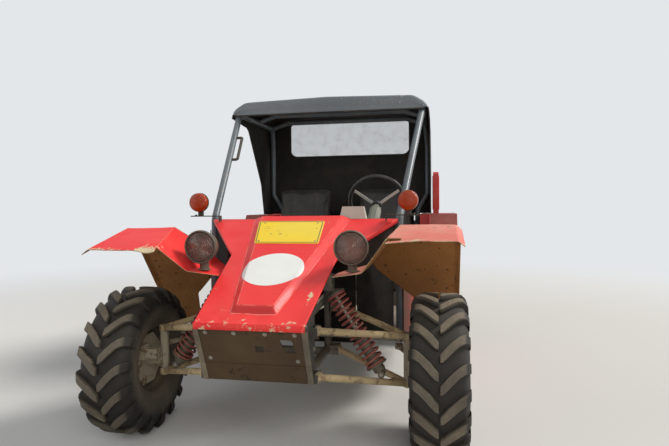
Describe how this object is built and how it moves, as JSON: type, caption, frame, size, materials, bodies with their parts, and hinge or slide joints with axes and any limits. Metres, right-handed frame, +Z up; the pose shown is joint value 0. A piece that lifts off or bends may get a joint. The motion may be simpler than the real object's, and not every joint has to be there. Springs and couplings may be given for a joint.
{
  "type": "two-seat off-road buggy",
  "caption": "Light off-road vehicle with open cab, cloth canopy over a tube cage, folded steel hood and fenders, double-arm front suspension, trailing arms and a short cargo bed.",
  "frame": {"origin": "on the ground under the middle of the bounding box", "axes": "+X to the driver's left, -Y the way the vehicle faces, +Z up"},
  "size_m": [1.63, 3, 1.712],
  "materials": {
    "red_paint": "semi-gloss, chalky and scratched",
    "dark_red_paint": "satin, dusty",
    "black_paint": "satin, dusty",
    "cage_grey": "satin, dusty",
    "dust_tan": "matt with dried dust",
    "steel": "dusty",
    "cast": "rough",
    "aluminium": "dull",
    "tyre": "dusty",
    "black_plastic": "matt",
    "black_rubber": "matt",
    "pod_plastic": "matt",
    "amber": "clear gloss",
    "red_lens": "clear gloss",
    "lens": "clear",
    "vinyl_grey": "matt vinyl cloth, chalky",
    "window_clear": "clear vinyl",
    "seat_vinyl": "satin vinyl"
  },
  "bodies": {
    "chassis": {"bulkheads": "black_paint", "canopy": "vinyl_grey", "cargo_floor": "aluminium", "cargo_sides": "red_paint", "dashboard": "black_plastic", "drive_shafts": "steel", "engine_block": "cast", "floor_pan": "aluminium", "frame": "black_paint", "front_arms": "dust_tan", "front_fenders": "red_paint", "grab_handle": "black_rubber", "headlight_bowls": "black_paint", "headlight_lenses": "lens", "hood": "red_paint", "indicator_holders": "black_rubber", "indicator_lenses": "amber", "instrument_pod": "pod_plastic", "nose_plates": "dust_tan", "rear_fenders": "dark_red_paint", "rear_frame": "black_paint", "rear_window": "window_clear", "roll_cage": "cage_grey", "seat_backs": "seat_vinyl", "seat_bases": "black_paint", "seat_cushions": "seat_vinyl", "shocks": "black_paint", "side_panels": "red_paint", "springs": "dark_red_paint", "steering_column": "black_paint", "steering_rack": "cast", "tail_lamps": "red_lens", "trailing_arms": "dust_tan"},
    "steering_wheel": {"steering_wheel": "black_rubber"},
    "knuckle_left": {"knuckle_left": "cast"},
    "knuckle_right": {"knuckle_right": "cast"},
    "tie_rods": {"tie_rods": "steel"},
    "front_wheel_left": {"front_tyre_left": "tyre", "front_rim_left": "dust_tan"},
    "front_wheel_right": {"front_tyre_right": "tyre", "front_rim_right": "dust_tan"},
    "rear_wheel_left": {"rear_tyre_left": "tyre", "rear_rim_left": "dust_tan"},
    "rear_wheel_right": {"rear_tyre_right": "tyre", "rear_rim_right": "dust_tan"}
  },
  "joints": [
    {"name": "steering_wheel_turn", "type": "hinge", "parent": "chassis", "child": "steering_wheel", "pos_m": [0.34, -0.28, 1.05], "axis": [0, 0.891, 0.454], "range_deg": [-280, 280]},
    {"name": "front_left_steer", "type": "hinge", "parent": "chassis", "child": "knuckle_left", "pos_m": [0.555, -1.08, 0.376], "axis": [0, 0, 1], "range_deg": [-28.2, 28.2]},
    {"name": "front_right_steer", "type": "hinge", "parent": "chassis", "child": "knuckle_right", "pos_m": [-0.555, -1.08, 0.376], "axis": [0, 0, 1], "range_deg": [-28.2, 28.2]},
    {"name": "tie_rod_slide", "type": "slide", "parent": "chassis", "child": "tie_rods", "axis": [1, 0, 0], "range_m": [-0.052, 0.052]},
    {"name": "front_left_spin", "type": "hinge", "parent": "knuckle_left", "child": "front_wheel_left", "pos_m": [0.685, -1.08, 0.33], "axis": [1, 0, 0], "continuous": true},
    {"name": "rear_left_spin", "type": "hinge", "parent": "chassis", "child": "rear_wheel_left", "pos_m": [0.685, 0.97, 0.33], "axis": [1, 0, 0], "continuous": true},
    {"name": "front_right_spin", "type": "hinge", "parent": "knuckle_right", "child": "front_wheel_right", "pos_m": [-0.685, -1.08, 0.33], "axis": [1, 0, 0], "continuous": true},
    {"name": "rear_right_spin", "type": "hinge", "parent": "chassis", "child": "rear_wheel_right", "pos_m": [-0.685, 0.97, 0.33], "axis": [1, 0, 0], "continuous": true}
  ],
  "couplings": [
    {"joint": "front_left_steer", "follows": "steering_wheel_turn", "ratio": 0.1},
    {"joint": "front_right_steer", "follows": "steering_wheel_turn", "ratio": 0.1},
    {"joint": "tie_rod_slide", "follows": "steering_wheel_turn", "m_per_rad": -0.0105}
  ]
}
